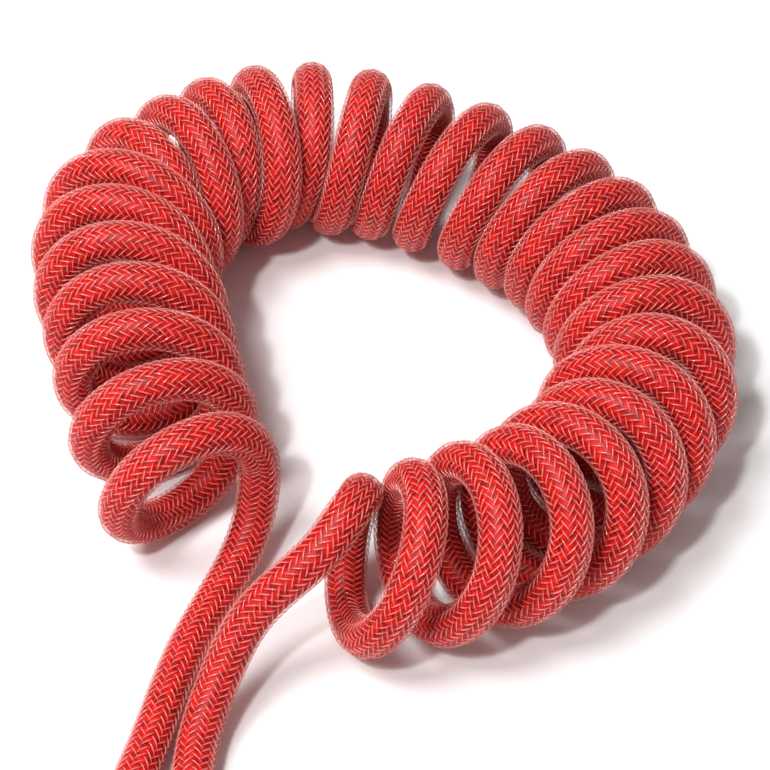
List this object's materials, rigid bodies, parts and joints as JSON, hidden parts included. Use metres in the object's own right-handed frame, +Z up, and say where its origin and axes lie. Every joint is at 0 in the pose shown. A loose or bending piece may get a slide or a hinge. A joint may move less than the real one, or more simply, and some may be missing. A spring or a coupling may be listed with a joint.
{
  "type": "coiled air hose",
  "caption": "Coiled compressed-air hose in a clear braided sleeve, its coil bent into an open ring, with a swivel plug at one end and a swivel quick coupler with sliding sleeve at the other.",
  "frame": {"origin": "middle of the whole object's base, on the surface that it lies on", "axes": "+Z up from the surface; +Y from the end fittings towards the back of the coil's ring, along the longest extent; +X to the right as seen from the fittings"},
  "size_m": [0.1702, 0.3274, 0.0425],
  "materials": {
    "red_hose": "glossy red polyurethane tube seen through a clear braided monofilament sleeve",
    "nickel": "satin nickel plate on turned brass",
    "brass": "turned brass",
    "spring_steel": "drawn spring wire",
    "chrome": "polished bearing steel",
    "black_rubber": "matte nitrile rubber"
  },
  "bodies": {
    "hose": {"hose_coil": "red_hose", "supply_tail": "red_hose", "tool_tail": "red_hose", "supply_hose_end": "red_hose", "tool_hose_end": "red_hose", "supply_spring_guard": "spring_steel", "tool_spring_guard": "spring_steel", "supply_nut": "nickel", "tool_nut": "nickel", "supply_ferrule": "brass", "tool_ferrule": "brass", "supply_stem": "brass", "tool_stem": "brass", "supply_swivel_seal": "black_rubber", "tool_swivel_seal": "black_rubber", "supply_retaining_ring": "spring_steel", "tool_retaining_ring": "spring_steel"},
    "plug": {"supply_swivel_nut": "nickel", "plug_washer": "black_rubber", "supply_plug": "brass"},
    "coupler": {"tool_swivel_nut": "nickel", "coupler_body": "brass", "sleeve_stop_ring": "spring_steel", "plug_seal": "black_rubber", "valve_spring_seat": "spring_steel", "sleeve_spring": "spring_steel", "valve_spring": "spring_steel"},
    "sleeve": {"coupler_sleeve": "nickel"},
    "valve": {"valve_poppet": "brass", "valve_seal": "black_rubber"},
    "ball_1": {"locking_ball_1": "chrome"},
    "ball_2": {"locking_ball_2": "chrome"},
    "ball_3": {"locking_ball_3": "chrome"},
    "ball_4": {"locking_ball_4": "chrome"}
  },
  "joints": [
    {"name": "plug_swivel", "type": "hinge", "parent": "hose", "child": "plug", "pos_m": [-0.0572, -0.0547, 0.0097], "axis": [-0.2588, -0.9659, 0], "continuous": true},
    {"name": "coupler_swivel", "type": "hinge", "parent": "hose", "child": "coupler", "pos_m": [-0.0312, -0.0587, 0.0123], "axis": [0, -1, 0], "continuous": true},
    {"name": "sleeve_slide", "type": "slide", "parent": "coupler", "child": "sleeve", "axis": [0, 1, 0], "range_m": [0, 0.0045], "stiffness_N_per_m": 500, "springref_m": -0.006, "deforming": ["sleeve_spring"]},
    {"name": "valve_push", "type": "slide", "parent": "coupler", "child": "valve", "axis": [0, 1, 0], "range_m": [0, 0.003], "stiffness_N_per_m": 400, "springref_m": -0.004, "deforming": ["valve_spring"]},
    {"name": "ball_1_slide", "type": "slide", "parent": "coupler", "child": "ball_1", "axis": [1, 0, 0], "range_m": [0, 0.0009]},
    {"name": "ball_2_slide", "type": "slide", "parent": "coupler", "child": "ball_2", "axis": [0, 0, 1], "range_m": [0, 0.0009]},
    {"name": "ball_3_slide", "type": "slide", "parent": "coupler", "child": "ball_3", "axis": [-1, 0, 0], "range_m": [0, 0.0009]},
    {"name": "ball_4_slide", "type": "slide", "parent": "coupler", "child": "ball_4", "axis": [0, 0, -1], "range_m": [0, 0.0009]}
  ],
  "couplings": [
    {"joint": "ball_1_slide", "follows": "sleeve_slide", "ratio": 0.2},
    {"joint": "ball_2_slide", "follows": "sleeve_slide", "ratio": 0.2},
    {"joint": "ball_3_slide", "follows": "sleeve_slide", "ratio": 0.2},
    {"joint": "ball_4_slide", "follows": "sleeve_slide", "ratio": 0.2}
  ]
}
